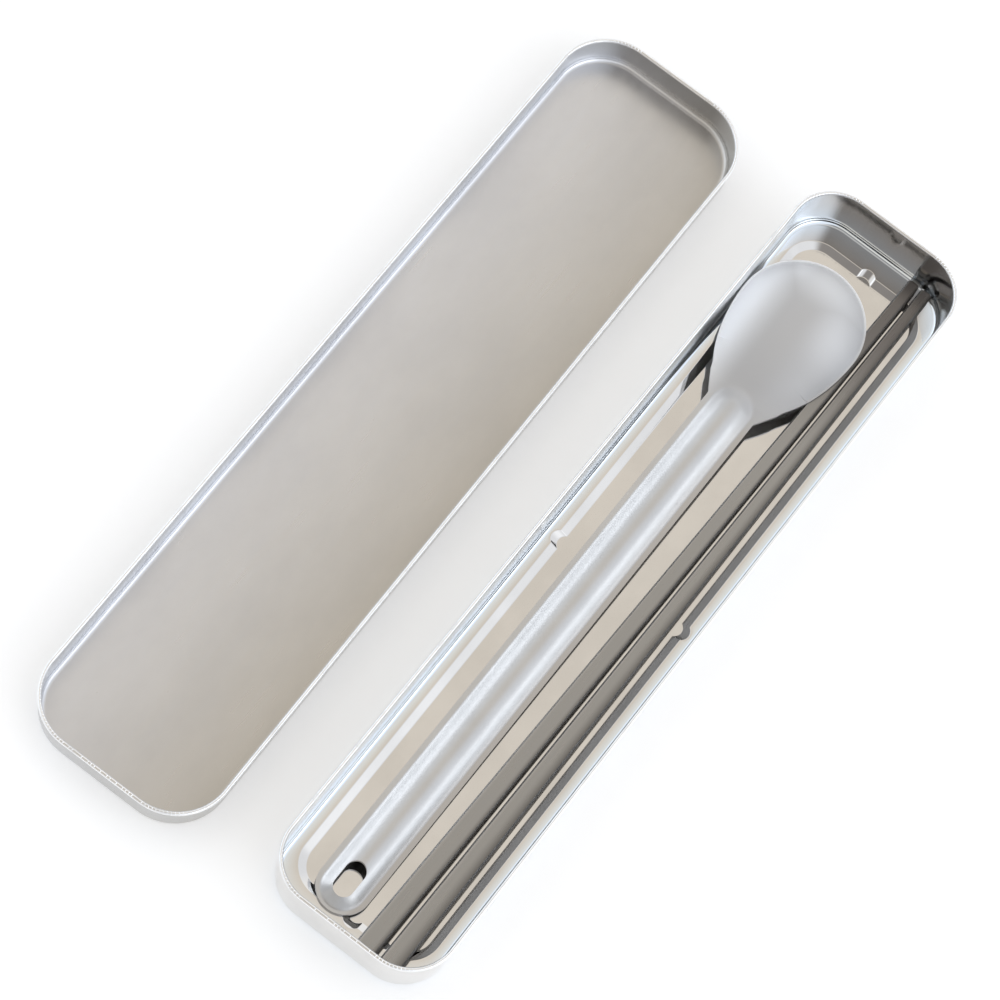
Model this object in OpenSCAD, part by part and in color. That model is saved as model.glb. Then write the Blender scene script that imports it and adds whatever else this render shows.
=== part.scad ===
// Portable chopstick case: a drawn metal tray with a spoon and two chopsticks, and its slip-on lid beside it.
// Millimetres, +Z up, +Y towards the far end, where the chopstick tips and the spoon's bowl lie.
// The origin is on the table, in the middle of the ground that the tray and the lid cover.

/* [Chopsticks] */
// Length of a chopstick, which sets the length of the tray
stick_length = 233; // [200:1:260]
// Width and height of a chopstick at its butt
stick_butt = 5.6; // [4.5:0.1:7]
// Width and height of a chopstick at its tip
stick_tip = 3.2; // [2.6:0.1:4]
// Wall of the hollow shaft
stick_wall = 0.6; // [0.4:0.05:0.9]
// Chamfer along the edges of a chopstick
stick_chamfer = 0.45; // [0.2:0.05:0.7]
// Length of the butt cap's head
cap_head = 1.5; // [1:0.1:4]
// Length of the solid tip
tip_head = 6; // [4:0.5:15]
// Length of the spigots on the cap and the tip, inside the shaft
spigot = 4; // [2:0.5:10]
// Gap round the spigots
spigot_gap = 0.05; // [0.02:0.01:0.1]
// Length of the chamfered end of the cap and the tip
stick_nose = 0.5; // [0.2:0.1:0.9]
// Room between a chopstick's end and the tray's end wall
stick_clearance = 1.9; // [0.5:0.1:4]
// Gap between the two chopsticks at the butts
butt_gap = 1.35; // [0.5:0.05:3]
// Gap between the two chopsticks at the tips
tip_gap = 0.8; // [0.4:0.05:2]
// Room between the right chopstick's butt and the tray's side wall
butt_margin = 6.7; // [2:0.1:9]
// Room between the right chopstick's tip and the tray's side wall
tip_margin = 6.9; // [2:0.1:9]

/* [Sheet metal] */
// Thickness of the tray's and the lid's sheet
sheet = 0.5; // [0.3:0.05:0.7]
// Width of the rolled rim
rim_roll = 1.1; // [0.9:0.05:1.6]
// Inside radius of the bend between wall and floor
bend = 1.4; // [0.8:0.1:2]

/* [Tray] */
// Width of the tray over its rim
tray_width = 49; // [46:0.5:70]
// Height of the tray, from its foot to the top of its rim
tray_height = 17.7; // [16:0.1:30]
// Corner radius of the tray over its rim
tray_corner = 13; // [11:0.5:20]
// Width of the flat ring along each side wall
ring_width = 3.2; // [2.6:0.1:4]
// Width of the flat ring along each end wall
ring_end = 6.6; // [4:0.1:8]
// Width of the slope from the ring down to the floor panel
slope_width = 2.1; // [1:0.1:3]
// Depth of the floor panel below the ring
panel_drop = 1; // [0.6:0.1:2]
// Radius of the round press mark at the middle of each side
mark_radius = 2.6; // [1.8:0.1:4]
// How far a press mark reaches past the slope, into the ring
mark_reach = 1.2; // [0.5:0.1:1.3]

/* [Lid] */
// Height of the lid
lid_height = 10.5; // [8:0.1:16]
// Gap between the tray's rim and the inside of the lid, when it is on
lid_clearance = 1.2; // [0.4:0.1:2]
// Gap on the table between the tray and the lid
lid_gap = 18; // [5:0.5:40]
// How far the lid's middle lies nearer than the tray's
lid_back = 1.2; // [0:0.1:10]
// Turn of the lid on the table, in degrees
lid_turn = 0.48; // [0:0.01:3]

/* [Spoon] */
// Length of the spoon
spoon_length = 217; // [190:1:224]
// Thickness of the spoon's sheet
spoon_sheet = 1; // [0.7:0.1:1.4]
// Width of the bowl
bowl_width = 34.6; // [28:0.1:36]
// Length of the bowl from its neck to its widest place
bowl_back = 31; // [24:0.5:34]
// Length of the bowl from its widest place to its tip
bowl_front = 18; // [15:0.1:24]
// Depth of the bowl
bowl_depth = 5; // [4:0.1:7]
// Where the bowl's edge meets the chopstick under it, as a share of the length from widest place to neck
seat_share = 0.55; // [0.4:0.05:0.8]
// Width of the handle over its flanges
handle_width = 14.2; // [12:0.1:17]
// How far the flanges run on beside the bowl, past its neck
flange_lap = 10; // [6:0.5:14]
// Width of the handle's raised rib
rib_width = 10; // [8:0.1:12]
// Height of the rib above the flanges
rib_height = 2.5; // [1.5:0.1:4]
// Length of flange past the rib, at the end of the handle
rib_inset = 1.6; // [1:0.1:5]
// Length of the hanging slot
slot_length = 10; // [7:0.5:14]
// Width of the hanging slot
slot_width = 5.4; // [4.6:0.1:6.5]
// Distance from the handle's end to the middle of the slot
slot_inset = 8.7; // [8:0.1:16]
// Room between the handle's end and the tray's end wall
spoon_clearance = 5.6; // [0.5:0.1:8]
// Room between the bowl and the tray's side wall
bowl_clearance = 0.35; // [0.3:0.05:2]
// Turn of the spoon in the tray, in degrees
spoon_turn = 0.2; // [0:0.05:0.6]
// Gap between the bowl's edge and the chopstick it lies on
seat_gap = 0.2; // [0.1:0.05:0.4]

/* [Hidden] */
$fn = 96;
// How far a cutting solid runs past the faces it cuts
past = 1;

// Sizes of the tray's and the lid's insides
inner_width = tray_width - 2 * rim_roll;
inner_length = stick_length + 2 * stick_clearance;
tray_length = inner_length + 2 * rim_roll;
lid_inner_width = tray_width + 2 * lid_clearance;
lid_inner_length = tray_length + 2 * lid_clearance;
lid_width = lid_inner_width + 2 * rim_roll;
lid_length = lid_inner_length + 2 * rim_roll;
lid_corner = tray_corner + lid_clearance + rim_roll;
inner_corner = tray_corner - rim_roll;
hole_width = inner_width - 2 * ring_width;
hole_length = inner_length - 2 * ring_end;
hole_corner = inner_corner - ring_width;
panel_top = sheet;
ring_top = panel_drop + sheet;

// The lid's half sizes as it lies turned on the table, and the two places that centre the pair
lid_side_x = lid_width / 2 - lid_corner;
lid_side_y = lid_length / 2 - lid_corner;
lid_reach_x = lid_side_x * cos(lid_turn) + lid_side_y * sin(lid_turn) + lid_corner;
lid_reach_y = lid_side_y * cos(lid_turn) + lid_side_x * sin(lid_turn) + lid_corner;
lid_apart = tray_width / 2 + lid_gap + lid_width / 2;
tray_x = (lid_apart + lid_reach_x - tray_width / 2) / 2;
far_reach = max(tray_length / 2, lid_reach_y - lid_back);
near_reach = max(tray_length / 2, lid_reach_y + lid_back);
tray_y = (near_reach - far_reach) / 2;
lid_x = tray_x - lid_apart;
lid_y = tray_y - lid_back;

// The chopsticks' middles, measured from the middle of the tray
butt_y = -stick_length / 2;
tip_y = stick_length / 2;
right_butt_x = inner_width / 2 - butt_margin - stick_butt / 2;
right_tip_x = inner_width / 2 - tip_margin - stick_tip / 2;
left_butt_x = right_butt_x - stick_butt - butt_gap;
left_tip_x = right_tip_x - stick_tip - tip_gap;

// The spoon's places along its length, from the end of the handle
spoon_y = -inner_length / 2 + spoon_clearance;
wide_at = spoon_length - bowl_front;
neck_at = wide_at - bowl_back;
rib_start = rib_inset + rib_width / 2;
rib_span = neck_at - rib_start;

// Radii of the arcs through the spoon's widths and heights
bowl_height = bowl_depth + spoon_sheet;
bowl_round = arc_through(bowl_width / 2, bowl_height);
front_arc = arc_through(bowl_front, bowl_height);
back_arc = arc_through(bowl_back, bowl_height);
rib_round = arc_through(rib_width / 2, rib_height);
bowl_x = -inner_width / 2 + bowl_clearance + bowl_width / 2;

// The spoon leans from the ring at the near end onto the left chopstick, which it meets at seat_at
seat_at = wide_at - seat_share * bowl_back;
seat_top = stick_size(spoon_y + seat_at) + seat_gap;
spoon_lean = atan(seat_top / seat_at);

function mix(a, b, t) = a + (b - a) * t;

// Radius of the arc that rises by height over half its chord
function arc_through(half, height) = (half * half + height * height) / (2 * height);

// Size of a chopstick at a place along the tray
function stick_size(y) = mix(stick_butt, stick_tip, (y - butt_y) / stick_length);

// One chamfered square ring of a chopstick, with its underside level with the ring it bridges
function stick_ring(butt_x, tip_x, y, inset, chamfer) =
    let (
        size = stick_size(y),
        x = mix(butt_x, tip_x, (y - butt_y) / stick_length),
        half = size / 2 - inset,
        cut = half - min(chamfer, half / 2),
        z = ring_top + size / 2
    )
    [
        [x - cut, y, z - half], [x + cut, y, z - half],
        [x + half, y, z - cut], [x + half, y, z + cut],
        [x + cut, y, z + half], [x - cut, y, z + half],
        [x - half, y, z + cut], [x - half, y, z - cut]
    ];

// A solid through a list of rings that have the same number of points
module loft(rings) {
    count = len(rings[0]);
    last = len(rings) - 1;
    sides = [
        for (r = [0 : last - 1], i = [0 : count - 1])
            let (j = (i + 1) % count, a = r * count, b = a + count)
            each [[a + i, a + j, b + j], [a + i, b + j, b + i]]
    ];
    near_end = [for (i = [1 : count - 2]) [0, i + 1, i]];
    far_end = [for (i = [1 : count - 2]) [last * count, last * count + i, last * count + i + 1]];
    polyhedron(points = [for (ring = rings) each ring], faces = concat(sides, near_end, far_end));
}

// The wall, rim and bend of a drawn pan, with x outwards from the inside of the wall
module wall_profile(height) {
    translate([0, bend + sheet]) square([sheet, height - bend - sheet - rim_roll / 2]);
    translate([rim_roll / 2, height - rim_roll / 2]) circle(d = rim_roll);
    translate([-bend, bend + sheet]) difference() {
        intersection() {
            circle(r = bend + sheet);
            translate([0, -bend - sheet]) square(bend + sheet);
        }
        circle(r = bend);
    }
}

// The slope from the ring's inner edge down to the tray's floor panel
module slope_profile() {
    polygon([[0, panel_drop], [0, ring_top], [-slope_width, panel_top], [-slope_width, 0]]);
}

// Everything under the top of the slope, and under the top of the ring beside it
module under_ring() {
    polygon([
        [mark_radius, 0], [mark_radius, ring_top],
        [0, ring_top], [-slope_width, panel_top], [-slope_width, 0]
    ]);
}

// The profile given as a child, run round a rounded rectangle of the given inside size
module run_round(width, length, corner) {
    side_x = width / 2 - corner;
    side_y = length / 2 - corner;
    for (turn = [0, 180]) rotate(turn) {
        translate([width / 2, side_y, 0]) rotate([90, 0, 0]) linear_extrude(2 * side_y) children();
        rotate(90) translate([length / 2, side_x, 0]) rotate([90, 0, 0])
            linear_extrude(2 * side_x) children();
        translate([side_x, side_y, 0]) rotate_extrude(angle = 90) translate([corner, 0]) children();
        rotate(90) translate([side_y, side_x, 0]) rotate_extrude(angle = 90)
            translate([corner, 0]) children();
    }
}

// A flat plate with rounded corners
module plate(width, length, corner, thickness = sheet) {
    linear_extrude(thickness) {
        square([width, length - 2 * corner], center = true);
        square([width - 2 * corner, length], center = true);
        for (x = [-1, 1], y = [-1, 1])
            translate([x * (width / 2 - corner), y * (length / 2 - corner)]) circle(r = corner);
    }
}

// The metal of a press mark, a round place in the ring and the slope as low as the floor panel
module press_mark_metal(edge) {
    reach = mark_radius + sheet;
    intersection() {
        translate([edge + mark_reach - mark_radius, 0, 0]) cylinder(r = reach, h = ring_top);
        translate([edge, reach, 0]) rotate([90, 0, 0]) linear_extrude(2 * reach) under_ring();
    }
}

// The hollow of a press mark
module press_mark_hollow(edge) {
    translate([edge + mark_reach - mark_radius, 0, panel_top])
        cylinder(r = mark_radius, h = ring_top);
}

// The flat ring between the bend and the slope
module ring_plate() {
    translate([0, 0, panel_drop]) difference() {
        plate(inner_width - 2 * bend, inner_length - 2 * bend, inner_corner - bend);
        translate([0, 0, -past]) plate(hole_width, hole_length, hole_corner, sheet + 2 * past);
    }
}

module base_tray() {
    color("gainsboro") translate([tray_x, tray_y, 0]) difference() {
        union() {
            run_round(inner_width, inner_length, inner_corner)
                translate([0, panel_drop]) wall_profile(tray_height - panel_drop);
            ring_plate();
            run_round(hole_width, hole_length, hole_corner) slope_profile();
            plate(hole_width - 2 * slope_width, hole_length - 2 * slope_width, hole_corner - slope_width);
            for (turn = [0, 180]) rotate(turn) {
                press_mark_metal(hole_width / 2);
                rotate(90) press_mark_metal(hole_length / 2);
            }
        }
        for (turn = [0, 180]) rotate(turn) {
            press_mark_hollow(hole_width / 2);
            rotate(90) press_mark_hollow(hole_length / 2);
        }
    }
}

module lid() {
    wall_corner = lid_corner - rim_roll;
    color("lightgray") translate([lid_x, lid_y, 0]) rotate(lid_turn) {
        run_round(lid_inner_width, lid_inner_length, wall_corner) wall_profile(lid_height);
        plate(lid_inner_width - 2 * bend, lid_inner_length - 2 * bend, wall_corner - bend);
    }
}

// The bowl's back, or its hollow when inset by the sheet: two arcs turned about an axis under the bowl
module bowl_form(inset) {
    translate([0, wide_at, bowl_height - bowl_round]) rotate([-90, 0, 0]) rotate_extrude() {
        intersection() {
            translate([bowl_round - front_arc, 0]) circle(r = front_arc - inset);
            square([bowl_round, 2 * bowl_front]);
        }
        intersection() {
            translate([bowl_round - back_arc, 0]) circle(r = back_arc - inset);
            translate([0, -2 * bowl_back]) square([bowl_round, 2 * bowl_back]);
        }
    }
}

// The handle's rib, or its hollow when inset by the sheet: a round bar with round ends
module rib_form(inset) {
    bar = rib_round - inset;
    translate([0, rib_start, spoon_sheet + rib_height - rib_round]) rotate([-90, 0, 0]) rotate_extrude()
        intersection() {
            union() {
                square([bar, rib_span]);
                circle(r = bar);
                translate([0, rib_span]) circle(r = bar);
            }
            translate([0, -rib_round]) square([rib_round, rib_span + 2 * rib_round]);
        }
}

// The part of its children above the spoon's flat edge
module above_edge() {
    intersection() {
        children();
        translate([-bowl_width, -bowl_width, 0])
            cube([2 * bowl_width, spoon_length + 2 * bowl_width, bowl_width]);
    }
}

// The flat sheet along the handle, with a round end
module flange() {
    half = handle_width / 2;
    linear_extrude(spoon_sheet) {
        translate([-half, half]) square([handle_width, neck_at + flange_lap - half]);
        translate([0, half]) circle(r = half);
    }
}

module hanging_slot() {
    straight = slot_length - slot_width;
    translate([0, slot_inset, -past]) linear_extrude(spoon_sheet + rib_height + 2 * past) {
        square([slot_width, straight], center = true);
        for (end = [-1, 1]) translate([0, end * straight / 2]) circle(d = slot_width);
    }
}

module spoon() {
    color("silver") translate([tray_x + bowl_x, tray_y + spoon_y, ring_top]) rotate([spoon_lean, 0, 0])
        translate([0, wide_at, 0]) rotate(-spoon_turn) translate([0, -wide_at, 0])
            difference() {
                union() {
                    flange();
                    above_edge() rib_form(0);
                    above_edge() bowl_form(0);
                }
                rib_form(spoon_sheet);
                bowl_form(spoon_sheet);
                hanging_slot();
            }
}

// The three welded pieces of a chopstick whose middle runs between two places across the tray
module stick_shaft(butt_x, tip_x) {
    inner_chamfer = stick_chamfer / 2;
    ends = [butt_y + cap_head, tip_y - tip_head];
    difference() {
        loft([for (y = ends) stick_ring(butt_x, tip_x, y, 0, stick_chamfer)]);
        loft([for (y = ends + [-past, past]) stick_ring(butt_x, tip_x, y, stick_wall, inner_chamfer)]);
    }
}

module stick_end(butt_x, tip_x, outer_y, joint_y) {
    way = sign(joint_y - outer_y);
    ring_y = [outer_y, outer_y + way * stick_nose, joint_y];
    inset = [min(stick_nose, stick_size(outer_y) / 5), 0, 0];
    head = [for (i = [0 : 2]) stick_ring(butt_x, tip_x, ring_y[i], inset[i], stick_chamfer)];
    plug = [for (y = [joint_y, joint_y + way * spigot])
        stick_ring(butt_x, tip_x, y, stick_wall + spigot_gap, stick_chamfer / 2)];
    loft(way > 0 ? head : [head[2], head[1], head[0]]);
    loft(way > 0 ? plug : [plug[1], plug[0]]);
}

module in_tray() {
    color("dimgray") translate([tray_x, tray_y, 0]) children();
}

module left_stick_shaft() {
    in_tray() stick_shaft(left_butt_x, left_tip_x);
}

module left_stick_cap() {
    in_tray() stick_end(left_butt_x, left_tip_x, butt_y, butt_y + cap_head);
}

module left_stick_tip() {
    in_tray() stick_end(left_butt_x, left_tip_x, tip_y, tip_y - tip_head);
}

module right_stick_shaft() {
    in_tray() stick_shaft(right_butt_x, right_tip_x);
}

module right_stick_cap() {
    in_tray() stick_end(right_butt_x, right_tip_x, butt_y, butt_y + cap_head);
}

module right_stick_tip() {
    in_tray() stick_end(right_butt_x, right_tip_x, tip_y, tip_y - tip_head);
}

base_tray();
lid();
spoon();
left_stick_shaft();
left_stick_cap();
left_stick_tip();
right_stick_shaft();
right_stick_cap();
right_stick_tip();
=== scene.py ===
import bpy
import math
import numpy as np
from mathutils import Matrix, Vector


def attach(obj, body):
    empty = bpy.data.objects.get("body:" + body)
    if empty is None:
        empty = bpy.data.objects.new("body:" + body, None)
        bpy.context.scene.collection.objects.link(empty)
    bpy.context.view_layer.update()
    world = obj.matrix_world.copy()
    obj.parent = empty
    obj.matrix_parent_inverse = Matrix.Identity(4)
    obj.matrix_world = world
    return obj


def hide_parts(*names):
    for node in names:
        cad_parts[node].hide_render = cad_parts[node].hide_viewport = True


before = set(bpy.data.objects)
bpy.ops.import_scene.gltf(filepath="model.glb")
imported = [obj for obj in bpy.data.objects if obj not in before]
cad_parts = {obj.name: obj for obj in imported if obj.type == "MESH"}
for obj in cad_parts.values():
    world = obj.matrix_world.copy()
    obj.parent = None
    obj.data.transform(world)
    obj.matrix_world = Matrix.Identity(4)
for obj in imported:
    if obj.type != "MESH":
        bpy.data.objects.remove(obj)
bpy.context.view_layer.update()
mm = 0.001
print("frame loaded:", len(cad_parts), "nodes")


# small helpers for node trees
def addNode(tree, kind, values=None, **props):
    made = tree.nodes.new(kind)
    for name, value in props.items():
        setattr(made, name, value)
    for name, value in (values or {}).items():
        made.inputs[name].default_value = value
    return made


def feed(tree, node, index, value):
    # a number or a colour is set on the socket, an output is linked to it
    if isinstance(value, (int, float)):
        node.inputs[index].default_value = value
    elif isinstance(value, tuple):
        node.inputs[index].default_value = (*value, 1.0)
    else:
        tree.links.new(value, node.inputs[index])


def mathNode(tree, operation, *values):
    made = addNode(tree, "ShaderNodeMath", operation=operation)
    for index, value in enumerate(values):
        feed(tree, made, index, value)
    return made.outputs[0]


# a ramp is (from low, from high), with (to low, to high) after it where these aren't 0 and 1
def rangeNode(tree, value, low, high, toLow=0.0, toHigh=1.0, smooth=True):
    ends = {"From Min": low, "From Max": high, "To Min": toLow, "To Max": toHigh}
    style = "SMOOTHSTEP" if smooth else "LINEAR"
    made = addNode(tree, "ShaderNodeMapRange", ends, interpolation_type=style)
    tree.links.new(value, made.inputs["Value"])
    return made.outputs["Result"]


# the sockets of a Mix node go by number, because their names repeat
mixSockets = {"factor": 0, "values": (2, 3), "valueOut": 0, "colours": (6, 7), "colourOut": 2}


def mixColour(tree, factor, a, b, blend="MIX"):
    made = addNode(tree, "ShaderNodeMix", data_type="RGBA", blend_type=blend)
    feed(tree, made, mixSockets["factor"], factor)
    for index, value in zip(mixSockets["colours"], (a, b)):
        feed(tree, made, index, value)
    return made.outputs[mixSockets["colourOut"]]


def mixValue(tree, factor, a, b):
    made = addNode(tree, "ShaderNodeMix", data_type="FLOAT")
    feed(tree, made, mixSockets["factor"], factor)
    for index, value in zip(mixSockets["values"], (a, b)):
        feed(tree, made, index, value)
    return made.outputs[mixSockets["valueOut"]]


def noiseNode(tree, vector, scale=1.0, detail=2.0, stretch=(1, 1, 1), roughness=0.5):
    mapping = addNode(tree, "ShaderNodeMapping", {"Scale": stretch})
    tree.links.new(vector, mapping.inputs["Vector"])
    made = addNode(tree, "ShaderNodeTexNoise", {"Scale": scale, "Detail": detail, "Roughness": roughness})
    tree.links.new(mapping.outputs["Vector"], made.inputs["Vector"])
    return made.outputs["Fac"]


def bumpNode(tree, height, distance, after=None):
    made = addNode(tree, "ShaderNodeBump", {"Strength": 1.0, "Distance": distance})
    tree.links.new(height, made.inputs["Height"])
    if after is not None:
        tree.links.new(after, made.inputs["Normal"])
    return made.outputs["Normal"]


def placeNode(tree, kind="Object"):
    return addNode(tree, "ShaderNodeTexCoord").outputs[kind]


def shareNode(tree, name):
    return addNode(tree, "ShaderNodeAttribute", attribute_name=name).outputs["Fac"]


def splitNode(tree, vector):
    made = addNode(tree, "ShaderNodeSeparateXYZ")
    tree.links.new(vector, made.inputs["Vector"])
    return made.outputs


def newMetal(name):
    material = bpy.data.materials.new(name)
    material.use_nodes = True
    tree = material.node_tree
    shader = tree.nodes["Principled BSDF"]
    shader.inputs["Metallic"].default_value = 1.0
    return material, tree, shader


# fine upright lines that drawing leaves on the walls of both pans
drawnLines = {"detail": 3.0, "stretch": (1500.0, 28.0, 1.0)}


def linesNode(tree):
    run = addNode(tree, "ShaderNodeUVMap", uv_map="panRun").outputs["UV"]
    return noiseNode(tree, run, **drawnLines)


# polished sheet of the tray: mirror floor, drawn walls, with painted reflection on the ring and painted light
# on the long walls
polish = {"light": (0.80, 0.79, 0.775), "dark": (0.74, 0.73, 0.715), "ring": (0.85, 0.92, 0.99),
          "side": (0.955, 0.96, 0.97), "sideRough": 0.26,
          "cloud": {"scale": 70.0, "detail": 4.0}, "cloudRamp": (0.3, 0.7),
          "scratch": {"detail": 3.0, "stretch": (2600.0, 45.0, 2600.0)},
          "floorRough": (0.25, 0.85, 0.03, 0.095), "wallRough": (0.2, 0.8, 0.1125, 0.1875),
          "wave": {"scale": 38.0, "detail": 1.0}, "waveDepth": 0.000012, "lineDepth": 0.000008}


def trayMetal():
    material, tree, shader = newMetal("polishedSheet")
    link = tree.links.new
    place = placeNode(tree)
    wall = shareNode(tree, "wallShare")
    ring = shareNode(tree, "ringShare")
    side = shareNode(tree, "sideShare")
    cloud = noiseNode(tree, place, **polish["cloud"])
    lines = linesNode(tree)
    scratch = noiseNode(tree, place, **polish["scratch"])
    plain = mixColour(tree, rangeNode(tree, cloud, *polish["cloudRamp"]), polish["light"], polish["dark"])
    # painted reflection: the ring gets a pale blue-white colour for the window light it reflects
    ringed = mixColour(tree, ring, plain, polish["ring"])
    # painted light: the long side walls are near-white for the bright side light they catch; their rougher
    # finish is real
    link(mixColour(tree, side, ringed, polish["side"]), shader.inputs["Base Color"])
    floorRough = rangeNode(tree, scratch, *polish["floorRough"])
    wallRough = rangeNode(tree, lines, *polish["wallRough"])
    rough = mixValue(tree, wall, floorRough, wallRough)
    link(mixValue(tree, side, rough, polish["sideRough"]), shader.inputs["Roughness"])
    wave = bumpNode(tree, noiseNode(tree, place, **polish["wave"]), polish["waveDepth"])
    drawn = bumpNode(tree, mathNode(tree, "MULTIPLY", lines, wall), polish["lineDepth"], wave)
    link(drawn, shader.inputs["Normal"])
    return material


# satin sheet of the lid, faintly clouded and rubbed; its floor carries painted light, paler and bluer to the
# left, darker and warmer to the right
satin = {"light": (0.585, 0.585, 0.58), "dark": (0.535, 0.53, 0.52), "floorRough": 0.32, "wallRough": 0.22,
         "paintedLightLeft": (1.35, 1.385, 1.48), "paintedShadeRight": (1.01, 0.975, 0.92), "paintedLightRamp": (-0.060, -0.008),
         "cloud": {"scale": 42.0, "detail": 5.0, "stretch": (1.0, 0.6, 1.0), "roughness": 0.6},
         "cloudRamp": (0.25, 0.75), "cloudBlur": (0.3, 0.7, -0.03, 0.04),
         "rub": {"detail": 4.0, "stretch": (1400.0, 60.0, 1400.0)}, "rubBlur": (0.2, 0.8, -0.04, 0.04),
         "rubDepth": 0.0000025, "lineDepth": 0.000010}


def lidMetal():
    material, tree, shader = newMetal("satinSheet")
    link = tree.links.new
    place = placeNode(tree)
    wall = shareNode(tree, "wallShare")
    cloud = noiseNode(tree, place, **satin["cloud"])
    rub = noiseNode(tree, place, **satin["rub"])
    lines = linesNode(tree)
    # painted light: a ramp across the floor, lit to the left and shaded to the right
    side = rangeNode(tree, splitNode(tree, place)["X"], *satin["paintedLightRamp"], smooth=False)
    paintedLight = mixColour(tree, side, satin["paintedLightLeft"], satin["paintedShadeRight"])
    cloudy = mixColour(tree, rangeNode(tree, cloud, *satin["cloudRamp"]), satin["light"], satin["dark"])
    onFloor = mathNode(tree, "SUBTRACT", 1.0, wall)
    link(mixColour(tree, onFloor, cloudy, paintedLight, "MULTIPLY"), shader.inputs["Base Color"])
    cloudBlur = rangeNode(tree, cloud, *satin["cloudBlur"])
    rubBlur = rangeNode(tree, rub, *satin["rubBlur"])
    blur = mathNode(tree, "ADD", cloudBlur, rubBlur)
    floorRough = mathNode(tree, "ADD", blur, satin["floorRough"])
    link(mixValue(tree, wall, floorRough, satin["wallRough"]), shader.inputs["Roughness"])
    grain = bumpNode(tree, rub, satin["rubDepth"])
    drawn = bumpNode(tree, mathNode(tree, "MULTIPLY", lines, wall), satin["lineDepth"], grain)
    link(drawn, shader.inputs["Normal"])
    return material


# rolled edge: painted near-white as a highlight along the roll, with small handling marks
rimHighlightTone = {"light": (0.96, 0.965, 0.97), "dark": (0.88, 0.885, 0.89),
            "fleck": {"scale": 260.0, "detail": 2.0}, "fleckRamp": (0.45, 0.75),
            "roughRamp": (0.3, 0.7, 0.2, 0.28)}


def rimMetal():
    material, tree, shader = newMetal("rolledEdge")
    fleck = noiseNode(tree, placeNode(tree), **rimHighlightTone["fleck"])
    marked = rangeNode(tree, fleck, *rimHighlightTone["fleckRamp"])
    tree.links.new(mixColour(tree, marked, rimHighlightTone["light"], rimHighlightTone["dark"]), shader.inputs["Base Color"])
    tree.links.new(rangeNode(tree, fleck, *rimHighlightTone["roughRamp"]), shader.inputs["Roughness"])
    return material


# spoon: bead-blasted bowl, handle rubbed smooth along its length
blast = {"light": (0.642, 0.648, 0.655), "dark": (0.612, 0.618, 0.625), "bowl": (0.555, 0.555, 0.56),
         "edge": (0.95, 0.97, 1.0), "flange": (0.55, 0.54, 0.53), "metalRamp": (0.0, 1.0, 1.0, 0.6),
         "cloud": {"scale": 120.0, "detail": 4.0}, "cloudRamp": (0.3, 0.7),
         "brushed": {"detail": 3.0, "stretch": (2600.0, 180.0, 2600.0)},
         "handleRough": (0.2, 0.8, 0.30, 0.36),
         "grain": {"scale": 5200.0, "detail": 2.0}, "bowlRough": (0.2, 0.8, 0.45, 0.55),
         "grainDepth": 0.000022, "strokeShare": 0.05,
         "leftHighlightRamp": (0.0265, 0.0165), "rightHighlightRamp": (0.0310, 0.0400, 0.0, 0.36), "rightHighlightRun": (0.074, 0.088),
         "tipLightingRamp": (0.0890, 0.1040), "flangeShadeRamp": (0.0335, 0.0355)}


def spoonMetal():
    material, tree, shader = newMetal("blastedMetal")
    link = tree.links.new
    place = placeNode(tree)
    bowl = shareNode(tree, "bowlShare")
    cloud = noiseNode(tree, place, **blast["cloud"])
    grain = noiseNode(tree, place, **blast["grain"])
    brushed = noiseNode(tree, place, **blast["brushed"])
    plain = mixColour(tree, rangeNode(tree, cloud, *blast["cloudRamp"]), blast["light"], blast["dark"])
    # painted highlight: a pale blue-white towards the bowl's sides and tip; painted shade: the handle's right
    # flange darker
    spot = splitNode(tree, place)
    left = rangeNode(tree, spot["X"], *blast["leftHighlightRamp"])
    rightHighlightRun = rangeNode(tree, spot["Y"], *blast["rightHighlightRun"])
    right = mathNode(tree, "MULTIPLY", rangeNode(tree, spot["X"], *blast["rightHighlightRamp"]), rightHighlightRun)
    sides = mathNode(tree, "MULTIPLY", mathNode(tree, "MAXIMUM", right, left), bowl)
    paleHighlight = mathNode(tree, "MAXIMUM", rangeNode(tree, spot["Y"], *blast["tipLightingRamp"]), sides)
    # painted shade: the right flange is darkened where the chopstick shades it
    flange = mixColour(tree, rangeNode(tree, spot["X"], *blast["flangeShadeRamp"]), plain, blast["flange"])
    toned = mixColour(tree, bowl, flange, blast["bowl"])
    link(mixColour(tree, paleHighlight, toned, blast["edge"]), shader.inputs["Base Color"])
    handleRough = rangeNode(tree, brushed, *blast["handleRough"])
    bowlRough = rangeNode(tree, grain, *blast["bowlRough"])
    link(mixValue(tree, bowl, handleRough, bowlRough), shader.inputs["Roughness"])
    link(rangeNode(tree, bowl, *blast["metalRamp"]), shader.inputs["Metallic"])
    stroke = mathNode(tree, "MULTIPLY", brushed, mathNode(tree, "SUBTRACT", 1.0, bowl))
    strokeHigh = mathNode(tree, "MULTIPLY", stroke, blast["strokeShare"])
    height = mathNode(tree, "ADD", strokeHigh, mathNode(tree, "MULTIPLY", grain, bowl))
    link(bumpNode(tree, height, blast["grainDepth"]), shader.inputs["Normal"])
    return material


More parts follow.
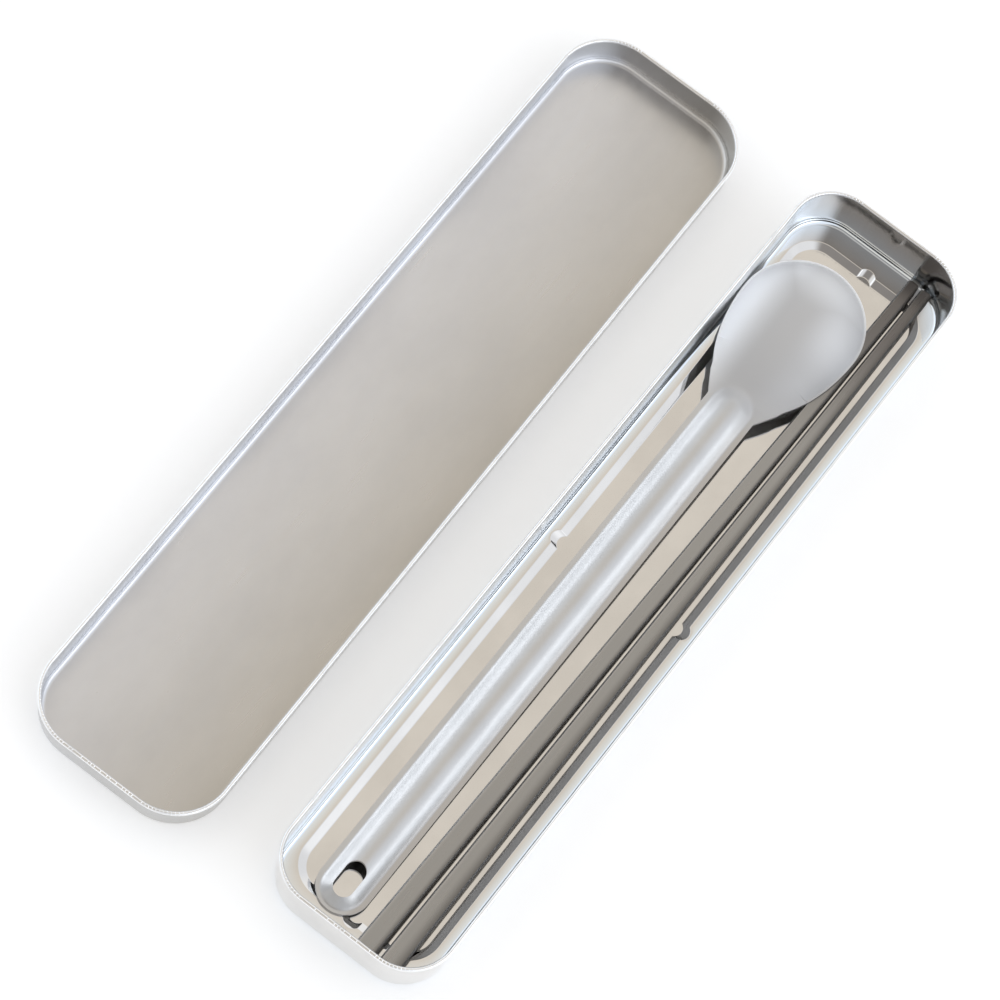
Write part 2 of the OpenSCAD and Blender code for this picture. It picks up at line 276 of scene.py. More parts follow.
# chopsticks: dark satin, brushed along their length, with painted light: a pale highlight along the left
# edges, painted shade towards the tips, on the right of the tops and on the side faces
stickTone = {"butt": (0.385, 0.38, 0.37), "tip": (0.19, 0.18, 0.175), "tipLightingRamp": (0.055, 0.105),
             "side": (0.28, 0.27, 0.26), "upRamp": (0.5, 0.9), "slantShade": (0.12, 0.12, 0.12, 1.0),
             "paleHighlight": (0.60, 0.595, 0.59), "paleHighlightRamp": (0.22, 0.02, 0.0, 0.55),
             "shade": (0.13, 0.125, 0.12), "shadeRamp": {"left": (0.70, 1.04), "right": (0.42, 1.12)},
             "brushed": {"detail": 4.0, "stretch": (2400.0, 110.0, 2400.0)}, "brushDepth": 0.0000005,
             "streak": (0.25, 0.24, 0.235), "streakRamp": (0.3, 0.75, 0.0, 0.06),
             "roughRamp": (0.2, 0.8, 0.26, 0.35), "endDepth": 0.0005}


def stickEdges(mesh):
    # the left and right edge as lines over y, taken from the corners at both ends
    points = np.array([vertex.co for vertex in mesh.vertices])
    x, y = points[:, 0], points[:, 1]
    butt = y < y.min() + stickTone["endDepth"]
    tip = y > y.max() - stickTone["endDepth"]
    lines = []
    for pick in (np.min, np.max):
        slope = float((pick(x[tip]) - pick(x[butt])) / (y[tip].mean() - y[butt].mean()))
        lines.append((slope, float(pick(x[butt]) - slope * y[butt].mean())))
    return lines


def stickMetal(side, edges):
    material, tree, shader = newMetal(f"{side}DarkSatin")
    # painted shade: the sides' reflection is dimmed where they are seen at a slant
    shader.inputs["Specular Tint"].default_value = stickTone["slantShade"]
    link = tree.links.new
    place = placeNode(tree)
    spot = splitNode(tree, place)
    reaches = []
    for slope, start in edges:
        reaches.append(mathNode(tree, "ADD", mathNode(tree, "MULTIPLY", spot["Y"], slope), start))
    left, right = reaches
    fromLeft = mathNode(tree, "SUBTRACT", spot["X"], left)
    across = mathNode(tree, "DIVIDE", fromLeft, mathNode(tree, "SUBTRACT", right, left))
    facing = splitNode(tree, placeNode(tree, "Normal"))
    upward = rangeNode(tree, facing["Z"], *stickTone["upRamp"])
    brushed = noiseNode(tree, place, **stickTone["brushed"])
    # painted shade: darker towards the tips, under the bowl
    along = rangeNode(tree, spot["Y"], *stickTone["tipLightingRamp"])
    tone = mixColour(tree, along, stickTone["butt"], stickTone["tip"])
    # painted highlight along the left edge of each top
    tone = mixColour(tree, rangeNode(tree, across, *stickTone["paleHighlightRamp"]), tone, stickTone["paleHighlight"])
    # painted shade across the right of each top
    tone = mixColour(tree, rangeNode(tree, across, *stickTone["shadeRamp"][side]), tone, stickTone["shade"])
    streak = mixColour(tree, rangeNode(tree, brushed, *stickTone["streakRamp"]), tone, stickTone["streak"])
    # painted shade: the side faces take a darker colour than the tops
    link(mixColour(tree, upward, stickTone["side"], streak), shader.inputs["Base Color"])
    link(rangeNode(tree, brushed, *stickTone["roughRamp"]), shader.inputs["Roughness"])
    link(bumpNode(tree, brushed, stickTone["brushDepth"]), shader.inputs["Normal"])
    return material


metals = {"tray": trayMetal(), "lid": lidMetal(), "rim": rimMetal(), "spoon": spoonMetal()}
print("metals made:", len(metals))


def showObject(name, data):
    made = bpy.data.objects.new(name, data)
    bpy.context.scene.collection.objects.link(made)
    return made


def finalMesh(maker):
    # the mesh as its modifiers leave it
    depsgraph = bpy.context.evaluated_depsgraph_get()
    return bpy.data.meshes.new_from_object(maker.evaluated_get(depsgraph), depsgraph=depsgraph)


# drawn pans: a folded profile run round a rounded rectangle, in millimetres
fold = {"steps": 8, "longRun": 0.5, "support": 0.12}


def unit(vector):
    return vector / np.linalg.norm(vector)


def foldedLine(corners):
    # corners are (outward, height, radius), and straight runs get support points close to each bend
    spots = [np.array(corner[:2], float) for corner in corners]
    points = [spots[0]]
    for before, here, after, corner in zip(spots, spots[1:], spots[2:], corners[1:]):
        back, ahead = unit(before - here), unit(after - here)
        turn = math.acos(max(-1.0, min(1.0, float(back @ ahead))))
        radius = corner[2]
        reach = radius / math.tan(turn / 2)
        centre = here + unit(back + ahead) * radius / math.sin(turn / 2)
        first, last = here + back * reach - centre, here + ahead * reach - centre
        sweep = math.pi - turn
        sign = 1.0 if first[0] * last[1] - first[1] * last[0] > 0 else -1.0
        for step in range(fold["steps"] + 1):
            angle = sign * sweep * step / fold["steps"]
            c, s = math.cos(angle), math.sin(angle)
            points.append(centre + np.array([first[0] * c - first[1] * s, first[0] * s + first[1] * c]))
    points.append(spots[-1])
    line = [points[0]]
    for a, b in zip(points, points[1:]):
        gap = np.linalg.norm(b - a)
        if gap > fold["longRun"]:
            line.append(a + (b - a) * fold["support"] / gap)
            line.append(b - (b - a) * fold["support"] / gap)
        line.append(b)
    return line


# stations stand close together by the press marks, and offMark keeps the corners free of marks
panGrid = {"coarse": 2.5, "fineReach": 3.2, "fineStep": 0.2, "fineClear": 3.4, "cornerSteps": 28,
           "offMark": 99.0, "squeezeFrom": -2.2, "sharp": 50}


def panStations(halfX, halfY, corner):
    # each station is a base point, the way outwards and its distance from the middle of a straight side
    coreX, coreY = halfX - corner, halfY - corner
    reach, step = panGrid["fineReach"], panGrid["fineStep"]
    fine = np.arange(-reach, reach + step / 2, step)
    stations = []
    for quarter in range(4):
        angle = quarter * math.pi / 2
        c, s = round(math.cos(angle)), round(math.sin(angle))
        depth, half = (coreX, coreY) if quarter % 2 == 0 else (coreY, coreX)
        coarse = np.linspace(-half, half, int(half * 2 / panGrid["coarse"]) + 2)
        places = np.concatenate([coarse[np.abs(coarse) > panGrid["fineClear"]], fine])
        for u in np.sort(places):
            stations.append((depth * c - u * s, depth * s + u * c, c, s, u))
        cornerX, cornerY = depth * c - half * s, depth * s + half * c
        for index in range(1, panGrid["cornerSteps"]):
            turn = angle + math.pi / 2 * index / panGrid["cornerSteps"]
            stations.append((cornerX, cornerY, math.cos(turn), math.sin(turn), panGrid["offMark"]))
    return stations


# half-round press mark at the middle of each side, eased out at both ends of its band
pressMark = {"half": 2.4, "radius": 2.6, "inner": -6.0, "outer": -1.6, "easeIn": 0.6, "easeOut": 0.7}


def markShift(out, u, reach):
    inner, outer, radius = pressMark["inner"], pressMark["outer"], pressMark["radius"]
    if not reach or abs(u) >= pressMark["half"] or not inner < out < outer:
        return 0.0
    bulge = math.sqrt(max(0.0, radius ** 2 - u * u)) - (radius - reach)
    ease = min(1.0, (out - inner) / pressMark["easeIn"], (outer - out) / pressMark["easeOut"])
    return max(0.0, bulge) * ease


# where the finish of walls, long sides and ring begins: rises are (start, length)
shareZone = {"wallFrom": -1.0, "wallRise": (0.9, 2.0), "sideFrom": -1.3, "sideTo": 0.3,
             "sideFacing": (0.75, 0.2), "sideRise": (0.6, 0.5), "ringEdge": 0.3, "ringTop": 1.2}


def rise(value, start, length):
    return min(1.0, max(0.0, (value - start) / length))


def finishShares(pan, out, high, outX):
    above = high - pan["drop"]
    wall = rise(above, *shareZone["wallRise"]) if out > shareZone["wallFrom"] else 0.0
    onSide = shareZone["sideFrom"] < out < shareZone["sideTo"]
    along = rise(abs(outX), *shareZone["sideFacing"]) if onSide else 0.0
    side = along * rise(above, *shareZone["sideRise"])
    onRing = -pan["ring"] + shareZone["ringEdge"] < out < 0.0 and high < pan["drop"] + shareZone["ringTop"]
    return {"wallShare": wall, "ringShare": 1.0 if onRing else 0.0, "sideShare": side}


def panMesh(name, pan, inside, outside):
    corner = pan["corner"]
    stations = panStations(pan["width"] / 2, pan["length"] / 2, corner)
    line = inside + outside
    count = len(stations)
    turn = Matrix.Rotation(math.radians(pan["turn"]), 4, "Z")
    place = Matrix.Translation(Vector(pan["centre"]) * mm) @ turn
    # the ring is wider along the ends, so what lies inside it is shorter
    core = pan["length"] / 2 - corner
    squeeze = (core - pan["ringEnd"] + pan["ring"]) / core
    verts, shares = [], []
    for out, high in line:
        for baseX, baseY, outX, outY, u in stations:
            baseY = baseY * (squeeze if out < panGrid["squeezeFrom"] else 1.0)
            far = corner + out + markShift(out, u, pan["markReach"])
            verts.append(place @ Vector(((baseX + outX * far) * mm, (baseY + outY * far) * mm, high * mm)))
            shares.append(finishShares(pan, out, high, outX))
    faces = [list(range(count))]
    for row in range(len(line) - 1):
        for index in range(count):
            after = (index + 1) % count
            first, second = row * count, (row + 1) * count
            faces.append([first + index, first + after, second + after, second + index])
    faces.append(list(range((len(line) - 1) * count, len(line) * count))[::-1])
    mesh = bpy.data.meshes.new(name)
    mesh.from_pydata(verts, [], faces)
    mesh.update()
    # the map panRun runs round the pan and down its profile, in metres
    path = [(x + outX * corner, y + outY * corner) for x, y, outX, outY, _ in stations]
    arc = [0.0]
    for a, b in zip(path, path[1:] + path[:1]):
        arc.append(arc[-1] + math.dist(a, b) * mm)
    down = [0.0]
    for a, b in zip(line, line[1:]):
        down.append(down[-1] + math.dist(a, b) * mm)
    layer = mesh.uv_layers.new(name="panRun")
    for poly in mesh.polygons:
        seam = len(poly.vertices) == 4 and {v % count for v in poly.vertices} == {0, count - 1}
        for loop in poly.loop_indices:
            vert = mesh.loops[loop].vertex_index
            across = arc[count] if seam and vert % count == 0 else arc[vert % count]
            layer.data[loop].uv = (across, down[vert // count])
    for label in shares[0]:
        values = np.array([share[label] for share in shares], np.float32)
        mesh.attributes.new(label, "FLOAT", "POINT").data.foreach_set("value", values)
    mesh.shade_smooth()
    mesh.set_sharp_from_angle(angle=math.radians(panGrid["sharp"]))
    return showObject(name, mesh)


trayPan = {"width": 46.8, "length": 236.8, "corner": 11.9, "height": 17.7, "centre": (36.2459, 1.2, 0.0),
           "turn": 0.0, "sheet": 0.5, "bend": 1.4, "ring": 3.2, "ringEnd": 6.6, "ringBend": 0.6, "slope": 2.1,
           "panelBend": 0.7, "drop": 1.0, "inset": 11.0, "markReach": 1.2, "roll": 0.55, "seed": 3}
lidPan = {"width": 51.4, "length": 241.4, "corner": 14.2, "height": 10.5, "centre": (-33.0541, 0.0, 0.0),
          "turn": 0.48, "sheet": 0.5, "bend": 1.4, "ring": 0.0, "ringEnd": 0.0, "drop": 0.0, "inset": 13.0,
          "markReach": 0.0, "roll": 0.55, "seed": 8}
ringTop = trayPan["drop"] + trayPan["sheet"]


def trayLines():
    sheet, bend, drop = trayPan["sheet"], trayPan["bend"], trayPan["drop"]
    ringAt = -trayPan["ring"]
    panelAt = ringAt - trayPan["slope"]
    top = trayPan["height"] - trayPan["roll"]
    inset, ringBend, panelBend = -trayPan["inset"], trayPan["ringBend"], trayPan["panelBend"]
    inside = [(inset, sheet, 0), (panelAt, sheet, panelBend), (ringAt, ringTop, ringBend),
              (0.0, ringTop, bend), (0.0, top, 0)]
    outside = [(sheet, top, 0), (sheet, drop, bend + sheet), (ringAt, drop, ringBend),
               (panelAt, 0.0, panelBend), (inset, 0.0, 0)]
    return foldedLine(inside), foldedLine(outside)


def lidLines():
    sheet, bend, inset = lidPan["sheet"], lidPan["bend"], -lidPan["inset"]
    top = lidPan["height"] - lidPan["roll"]
    inside = [(inset, sheet, 0), (0.0, sheet, bend), (0.0, top, 0)]
    outside = [(sheet, top, 0), (sheet, 0.0, bend + sheet), (inset, 0.0, 0)]
    return foldedLine(inside), foldedLine(outside)


trayShell = panMesh("trayShell", trayPan, *trayLines())
trayShell.data.materials.append(metals["tray"])
lidShell = panMesh("lidShell", lidPan, *lidLines())
lidShell.data.materials.append(metals["lid"])
print("pans made:", len(trayShell.data.vertices), len(lidShell.data.vertices))


# rolled rims with crimp ridges at the corners, swept by geometry nodes
crimp = {"spacing": 0.95 * mm, "height": 0.07 * mm, "lengthShare": 0.3, "levels": 3, "nearEnd": -0.49,
         "chance": 0.45, "cornerSteps": 28, "roundSteps": 20}
rimInputs = {"Width": "Float", "Length": "Float", "Corner": "Float", "Roll": "Float",
             "Crimp Spacing": "Float", "Crimp Height": "Float", "Middle": "Vector", "Turn": "Vector",
             "Seed": "Int", "Metal": "Material"}


def rimTree():
    tree = bpy.data.node_groups.new("rolledRim", "GeometryNodeTree")
    tree.interface.new_socket(name="Geometry", in_out="OUTPUT", socket_type="NodeSocketGeometry")
    for name, kind in rimInputs.items():
        tree.interface.new_socket(name=name, in_out="INPUT", socket_type="NodeSocket" + kind)
    link = tree.links.new
    given = tree.nodes.new("NodeGroupInput").outputs
    result = tree.nodes.new("NodeGroupOutput")
    frameCurve = addNode(tree, "GeometryNodeCurvePrimitiveQuadrilateral", mode="RECTANGLE")
    link(given["Width"], frameCurve.inputs["Width"])
    link(given["Length"], frameCurve.inputs["Height"])
    fillet = addNode(tree, "GeometryNodeFilletCurve", {"Count": crimp["cornerSteps"]}, mode="POLY")
    link(frameCurve.outputs[0], fillet.inputs["Curve"])
    link(given["Corner"], fillet.inputs["Radius"])
    section = addNode(tree, "GeometryNodeCurvePrimitiveCircle", {"Resolution": crimp["roundSteps"]})
    link(given["Roll"], section.inputs["Radius"])
    sweep = addNode(tree, "GeometryNodeCurveToMesh")
    link(fillet.outputs[0], sweep.inputs["Curve"])
    link(section.outputs[0], sweep.inputs["Profile Curve"])
    smooth = addNode(tree, "GeometryNodeSetShadeSmooth")
    link(sweep.outputs[0], smooth.inputs["Geometry"])
    # crimps stand where the path is in a corner, and here and there along the near end
    dots = addNode(tree, "GeometryNodeCurveToPoints", mode="LENGTH")
    link(fillet.outputs[0], dots.inputs["Curve"])
    link(given["Crimp Spacing"], dots.inputs["Length"])
    place = splitNode(tree, addNode(tree, "GeometryNodeInputPosition").outputs[0])

    def pastCorner(axis, size):
        half = mathNode(tree, "MULTIPLY", given[size], 0.5)
        reach = mathNode(tree, "SUBTRACT", half, given["Corner"])
        return mathNode(tree, "GREATER_THAN", mathNode(tree, "ABSOLUTE", place[axis]), reach)

    inCorner = mathNode(tree, "MULTIPLY", pastCorner("X", "Width"), pastCorner("Y", "Length"))
    nearLine = mathNode(tree, "MULTIPLY", given["Length"], crimp["nearEnd"])
    nearEnd = mathNode(tree, "LESS_THAN", place["Y"], nearLine)
    chance = addNode(tree, "FunctionNodeRandomValue", data_type="FLOAT")
    link(given["Seed"], chance.inputs["Seed"])
    drawn = mathNode(tree, "GREATER_THAN", chance.outputs["Value"], crimp["chance"])
    sparse = mathNode(tree, "MULTIPLY", nearEnd, drawn)
    ridge = addNode(tree, "GeometryNodeMeshIcoSphere", {"Radius": 1.0, "Subdivisions": crimp["levels"]})
    aim = addNode(tree, "FunctionNodeAlignRotationToVector", axis="X")
    link(dots.outputs["Tangent"], aim.inputs["Vector"])
    across = mathNode(tree, "ADD", given["Roll"], given["Crimp Height"])
    size = addNode(tree, "ShaderNodeCombineXYZ")
    link(mathNode(tree, "MULTIPLY", given["Crimp Spacing"], crimp["lengthShare"]), size.inputs["X"])
    link(across, size.inputs["Y"])
    link(across, size.inputs["Z"])
    stamp = addNode(tree, "GeometryNodeInstanceOnPoints")
    link(dots.outputs["Points"], stamp.inputs["Points"])
    link(mathNode(tree, "MAXIMUM", inCorner, sparse), stamp.inputs["Selection"])
    link(ridge.outputs["Mesh"], stamp.inputs["Instance"])
    link(aim.outputs["Rotation"], stamp.inputs["Rotation"])
    link(size.outputs["Vector"], stamp.inputs["Scale"])
    both = addNode(tree, "GeometryNodeJoinGeometry")
    ridgeSmooth = addNode(tree, "GeometryNodeSetShadeSmooth")
    solid = addNode(tree, "GeometryNodeRealizeInstances")
    link(stamp.outputs["Instances"], solid.inputs["Geometry"])
    link(solid.outputs["Geometry"], ridgeSmooth.inputs["Geometry"])
    link(ridgeSmooth.outputs["Geometry"], both.inputs["Geometry"])
    link(smooth.outputs["Geometry"], both.inputs["Geometry"])
    seat = addNode(tree, "GeometryNodeTransform")
    link(both.outputs["Geometry"], seat.inputs["Geometry"])
    link(given["Middle"], seat.inputs["Translation"])
    link(given["Turn"], seat.inputs["Rotation"])
    whole = addNode(tree, "GeometryNodeRealizeInstances")
    link(seat.outputs["Geometry"], whole.inputs["Geometry"])
    coat = addNode(tree, "GeometryNodeSetMaterial")
    link(whole.outputs["Geometry"], coat.inputs["Geometry"])
    link(given["Metal"], coat.inputs["Material"])
    link(coat.outputs["Geometry"], result.inputs["Geometry"])
    return tree


def makeWithNodes(name, tree, settings):
    holder = showObject(name + "Maker", bpy.data.meshes.new(name + "Maker"))
    modifier = holder.modifiers.new("nodes", "NODES")
    modifier.node_group = tree
    sockets = {item.name: item.identifier for item in tree.interface.items_tree if item.in_out == "INPUT"}
    for key, value in settings.items():
        modifier[sockets[key]] = value
    mesh = finalMesh(holder)
    mesh.name = name
    bpy.data.objects.remove(holder)
    return showObject(name, mesh)


rolledRim = rimTree()


def panRim(name, pan):
    roll = pan["roll"]
    settings = {"Width": (pan["width"] + 2 * roll) * mm, "Length": (pan["length"] + 2 * roll) * mm,
                "Corner": (pan["corner"] + roll) * mm, "Roll": roll * mm,
                "Crimp Spacing": crimp["spacing"], "Crimp Height": crimp["height"],
                "Middle": (pan["centre"][0] * mm, pan["centre"][1] * mm, (pan["height"] - roll) * mm),
                "Turn": (0.0, 0.0, math.radians(pan["turn"])), "Seed": pan["seed"], "Metal": metals["rim"]}
    return makeWithNodes(name, rolledRim, settings)


trayRim = panRim("trayRim", trayPan)
lidRim = panRim("lidRim", lidPan)
print("rims made:", len(trayRim.data.vertices), len(lidRim.data.vertices))


# spoon: one pressed sheet, bowl and rib blended into the flanges, in millimetres
spoonSize = {"length": 217.0, "sheet": 1.0, "bowlWidth": 34.6, "bowlBack": 31.0, "bowlFront": 18.0,
             "bowlDepth": 5.0, "handle": 14.2, "ribWidth": 10.0, "ribHeight": 2.5, "ribInset": 1.6,
             "slotLength": 10.0, "slotWidth": 5.4, "slotInset": 8.7, "slotCut": (-2.0, 8.0), "slotSteps": 48,
             "bowlX": -5.75, "turn": 0.2, "startY": -112.8, "seatShare": 0.55, "seatRise": 3.8876}
# blends by the neck: each From and To counts from it towards the bowl
spoonBlend = {"shoulder": 7.0, "edgeFrom": -14, "edgeTo": 16, "taperFrom": 6, "taperRun": 8, "thinFrom": 4,
              "thinSlope": 0.12, "edgeSheet": 0.35, "rib": 1.6, "bowl": 2.4, "bowlFrom": 14, "under": 0.02,
              "leastSheet": 0.3, "finishFrom": -6, "finishRun": 9, "sharp": 40}
spoonGrid = {"columns": 72, "buttRows": 26, "handleRows": 150, "neckRows": 130, "tipRows": 90, "neckRun": 12,
             "endAngle": 0.02}


def softMax(a, b, reach):
    overlap = np.maximum(reach - np.abs(a - b), 0.0) / reach
    return np.maximum(a, b) + overlap ** 2 * reach / 4


def arcThrough(half, height):
    return (half * half + height * height) / (2 * height)


def rootOf(value):
    return np.sqrt(np.maximum(value, 0.0))


def cutSlot(made):
    # the hanging slot goes through rib and sheet
    k, steps = spoonSize, spoonSize["slotSteps"]
    straight, radius = (k["slotLength"] - k["slotWidth"]) / 2, k["slotWidth"] / 2
    outline = []
    for step in range(steps):
        angle = 2 * math.pi * step / steps
        shift = straight if step < steps // 2 else -straight
        outline.append((radius * math.cos(angle), k["slotInset"] + radius * math.sin(angle) + shift))
    cutVerts = [(x * mm, y * mm, z * mm) for z in k["slotCut"] for x, y in outline]
    cutFaces = [list(range(steps))[::-1], list(range(steps, 2 * steps))]
    for index in range(steps):
        after = (index + 1) % steps
        cutFaces.append([index, after, steps + after, steps + index])
    cutter = bpy.data.meshes.new("slotCutter")
    cutter.from_pydata(cutVerts, [], cutFaces)
    cutObject = showObject("slotCutter", cutter)
    cut = made.modifiers.new("slot", "BOOLEAN")
    cut.operation = "DIFFERENCE"
    cut.object = cutObject
    cut.solver = "EXACT"
    done = finalMesh(made)
    made.modifiers.clear()
    bpy.data.objects.remove(cutObject)
    made.data = done
    done.name = "spoonBody"
    return done


def buildSpoon():
    k, soft, grid = spoonSize, spoonBlend, spoonGrid
    wideAt = k["length"] - k["bowlFront"]
    neckAt = wideAt - k["bowlBack"]
    tall = k["bowlDepth"] + k["sheet"]
    bowlArc = arcThrough(k["bowlWidth"] / 2, tall)
    frontArc, backArc = arcThrough(k["bowlFront"], tall), arcThrough(k["bowlBack"], tall)
    ribArc = arcThrough(k["ribWidth"] / 2, k["ribHeight"])
    ribStart = k["ribInset"] + k["ribWidth"] / 2
    half = k["handle"] / 2

    def bowlReach(s, inset):
        arc = np.where(s > wideAt, frontArc, backArc)
        return bowlArc - arc + rootOf((arc - inset) ** 2 - (s - wideAt) ** 2)

    def bowlHigh(s, t, inset):
        reach = np.maximum(bowlReach(s, inset), 0.0)
        return tall - bowlArc + rootOf(reach ** 2 - t ** 2)

    def ribHigh(s, t, inset):
        past = np.maximum(ribStart - s, 0.0) + np.maximum(s - neckAt, 0.0)
        return k["sheet"] + k["ribHeight"] - ribArc + rootOf((ribArc - inset) ** 2 - t ** 2 - past ** 2)

    # rows run from the butt to the tip, columns from the left edge to the right one
    quarter = math.pi / 2
    neckStart = neckAt - grid["neckRun"]
    buttRows = half * (1 - np.cos(np.linspace(grid["endAngle"], quarter, grid["buttRows"])))
    handleRows = np.linspace(half, neckStart, grid["handleRows"])[1:]
    neckRows = np.linspace(neckStart, wideAt, grid["neckRows"])[1:]
    tipTurn = np.linspace(0, quarter - grid["endAngle"], grid["tipRows"])[1:]
    tipRows = wideAt + k["bowlFront"] * np.sin(tipTurn)
    rows = np.concatenate([buttRows, handleRows, neckRows, tipRows])
    u = np.sin(np.linspace(-1, 1, grid["columns"]) * quarter)
    roundEnd = rootOf(half ** 2 - (half - np.minimum(rows, half)) ** 2)
    handleEdge = np.where(rows < half, roundEnd, half)
    taperAt = neckAt + soft["taperFrom"]
    taper = half * np.maximum(0.0, 1 - (rows - taperAt) / soft["taperRun"])
    handleEdge = np.where(rows > taperAt, taper, handleEdge)
    bowlEdge = rootOf(np.maximum(bowlReach(rows, 0.0), 0.0) ** 2 - (bowlArc - tall) ** 2)
    joined = softMax(handleEdge, bowlEdge, soft["shoulder"])
    edge = np.where(rows > neckAt + soft["edgeFrom"], joined, handleEdge)
    edge = np.where(rows > neckAt + soft["edgeTo"], bowlEdge, edge)
    s, t = rows[:, None] + 0 * u[None, :], edge[:, None] * u[None, :]
    thinAt = neckAt + soft["thinFrom"]
    thinned = np.maximum(soft["edgeSheet"], k["sheet"] - (s - thinAt) * soft["thinSlope"])
    flange = np.where(s < thinAt, k["sheet"], thinned)
    dome = bowlHigh(s, t, 0.0)
    top = softMax(softMax(flange, ribHigh(s, t, 0.0), soft["rib"]), dome, soft["bowl"])
    top = np.where(s > neckAt + soft["bowlFrom"], np.maximum(dome, soft["edgeSheet"]), top)
    underRib = np.maximum(ribHigh(s, t, k["sheet"]), 0.0)
    underBowl = np.maximum(bowlHigh(s, t, k["sheet"]), 0.0)
    under = np.minimum(softMax(underRib, underBowl, soft["under"]), top - soft["leastSheet"])
    rowCount, columnCount = s.shape
    total = rowCount * columnCount
    upper = np.arange(total).reshape(rowCount, columnCount)
    lower = upper + total
    sheets = [np.stack([t, s, high], 2).reshape(-1, 3) for high in (top, under)]
    faces = []
    for a in range(rowCount - 1):
        for b in range(columnCount - 1):
            faces.append((upper[a, b], upper[a, b + 1], upper[a + 1, b + 1], upper[a + 1, b]))
            faces.append((lower[a, b], lower[a + 1, b], lower[a + 1, b + 1], lower[a, b + 1]))
    border = list(upper[0, :]) + list(upper[1:, -1]) + list(upper[-1, -2::-1]) + list(upper[-2:0:-1, 0])
    for a, b in zip(border, border[1:] + border[:1]):
        faces.append((b, a, a + total, b + total))
    mesh = bpy.data.meshes.new("spoonBody")
    verts = [tuple(v * mm) for v in np.concatenate(sheets)]
    mesh.from_pydata(verts, [], [tuple(int(i) for i in face) for face in faces])
    made = showObject("spoonBody", mesh)
    done = cutSlot(made)
    share = done.attributes.new("bowlShare", "FLOAT", "POINT")
    along = np.array([v.co.y for v in done.vertices]) / mm
    finish = np.clip((along - neckAt - soft["finishFrom"]) / soft["finishRun"], 0, 1)
    share.data.foreach_set("value", finish.astype(np.float32))
    # it leans from the ring at the near end onto the left chopstick
    lean = math.atan(k["seatRise"] / (wideAt - k["seatShare"] * k["bowlBack"]))
    lift = Vector((trayPan["centre"][0] + k["bowlX"], trayPan["centre"][1] + k["startY"], ringTop)) * mm
    toWide, fromWide = Matrix.Translation((0, wideAt * mm, 0)), Matrix.Translation((0, -wideAt * mm, 0))
    swing = toWide @ Matrix.Rotation(math.radians(-k["turn"]), 4, "Z") @ fromWide
    done.transform(Matrix.Translation(lift) @ Matrix.Rotation(lean, 4, "X") @ swing)
    done.shade_smooth()
    done.set_sharp_from_angle(angle=math.radians(soft["sharp"]))
    done.materials.clear()
    done.materials.append(metals["spoon"])
    return made


spoonBody = buildSpoon()
print("spoon made:", len(spoonBody.data.vertices))

for side in ("left", "right"):
    satinStick = stickMetal(side, stickEdges(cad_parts[f"{side}_stick_shaft"].data))
    for piece in ("shaft", "cap", "tip"):
        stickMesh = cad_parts[f"{side}_stick_{piece}"].data
        stickMesh.materials.clear()
        stickMesh.materials.append(satinStick)
print("chopsticks coated")

# what each piece stands for and moves with
for piece, node, body, slot in ((trayShell, "base_tray", "tray", "tray_steel"),
                                (trayRim, "base_tray", "tray", "tray_steel"),
                                (lidShell, "lid", "lid", "lid_steel"), (lidRim, "lid", "lid", "lid_steel"),
                                (spoonBody, "spoon", "spoon", "spoon_metal")):
    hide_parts(node)
    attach(piece, body)
print("pieces placed")

# table, light and camera
tableTone = {"colour": (0.88, 0.885, 0.89), "glow": (1.0, 1.0, 1.0), "lift": 0.28, "reach": 2.5}


def tableTop():
    mesh = bpy.data.meshes.new("table")
    reach = tableTone["reach"]
    corners = [(-reach, -reach, 0), (reach, -reach, 0), (reach, reach, 0), (-reach, reach, 0)]
    mesh.from_pydata(corners, [], [(0, 1, 2, 3)])
    made = showObject("table", mesh)
    material = bpy.data.materials.new("whiteTable")
    material.use_nodes = True
    tree = material.node_tree
    tree.nodes.remove(tree.nodes["Principled BSDF"])
    plain = addNode(tree, "ShaderNodeBsdfDiffuse", {"Color": (*tableTone["colour"], 1.0)})
    glow = addNode(tree, "ShaderNodeEmission", {"Color": (*tableTone["glow"], 1.0)})
    # the glow shows to the camera and in the metal, but throws no soft light
    rays = addNode(tree, "ShaderNodeLightPath").outputs
    seen = mathNode(tree, "MAXIMUM", rays["Is Camera Ray"], rays["Is Glossy Ray"])
    seen = mathNode(tree, "MAXIMUM", seen, rays["Is Transmission Ray"])
    blend = addNode(tree, "ShaderNodeAddShader")
    tree.links.new(mathNode(tree, "MULTIPLY", seen, tableTone["lift"]), glow.inputs["Strength"])
    tree.links.new(plain.outputs[0], blend.inputs[0])
    tree.links.new(glow.outputs[0], blend.inputs[1])
    tree.links.new(blend.outputs[0], tree.nodes["Material Output"].inputs["Surface"])
    mesh.materials.append(material)


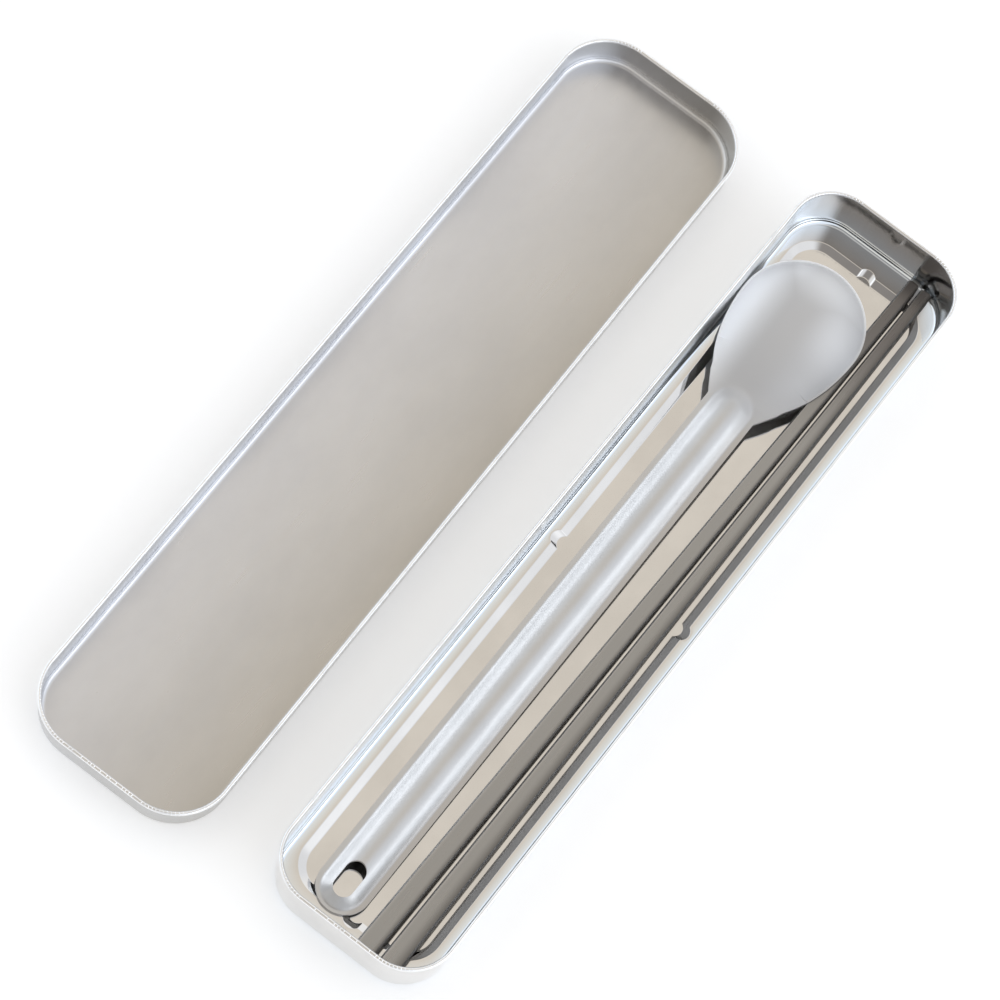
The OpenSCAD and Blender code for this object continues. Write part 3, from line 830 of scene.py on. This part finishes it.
# the room's colours by direction, each laid over those before it along an axis
room = {"ceiling": (0.80, 0.745, 0.67), "screen": (0.30, 0.285, 0.275), "horizon": (0.42, 0.42, 0.43),
        "layers": (("Y", (0.5, 0.75), (1.0, 1.0, 1.0)), ("X", (-0.2, -0.5), (0.90, 0.905, 0.91)),
                   ("X", (-0.6, -0.85), (1.3, 1.38, 1.48)), ("X", (0.1, 0.36), (0.92, 0.94, 0.98)),
                   ("X", (0.62, 0.92), (2.3, 2.37, 2.45))),
        "screenRamps": (("X", (-0.45, -0.25)), ("X", (0.45, 0.2)), ("Y", (0.22, -0.4)),
                        ("Y", (-0.7, -0.58))),
        "horizonRamp": (0.08, 0.3)}


def roomLight():
    world = bpy.data.worlds.new("room")
    bpy.context.scene.world = world
    world.use_nodes = True
    tree = world.node_tree
    way = splitNode(tree, placeNode(tree, "Generated"))
    colour = room["ceiling"]
    for axis, ramp, tone in room["layers"]:
        colour = mixColour(tree, rangeNode(tree, way[axis], *ramp), colour, tone)
    # a dark screen stands on the camera's side
    screen = 1.0
    for axis, ramp in room["screenRamps"]:
        screen = mathNode(tree, "MULTIPLY", screen, rangeNode(tree, way[axis], *ramp))
    colour = mixColour(tree, screen, colour, room["screen"])
    colour = mixColour(tree, rangeNode(tree, way["Z"], *room["horizonRamp"]), room["horizon"], colour)
    tree.links.new(colour, tree.nodes["Background"].inputs["Color"])


photoView = {"lens": 144.0, "sensor": 36.0, "place": (0.09888, -0.37953, 0.92260),
             "right": (0.7929, 0.5889, 0.1569), "up": (-0.6012, 0.7139, 0.3590),
             "back": (0.0994, -0.3789, 0.9201)}


def photoCamera():
    data = bpy.data.cameras.new("camera")
    data.lens = photoView["lens"]
    data.sensor_width = photoView["sensor"]
    made = showObject("camera", data)
    turn = Matrix((photoView["right"], photoView["up"], photoView["back"])).transposed().to_4x4()
    made.matrix_world = Matrix.Translation(photoView["place"]) @ turn
    bpy.context.scene.camera = made


tableTop()
roomLight()
photoCamera()
bpy.context.scene.view_settings.view_transform = "Standard"
print("stage set")
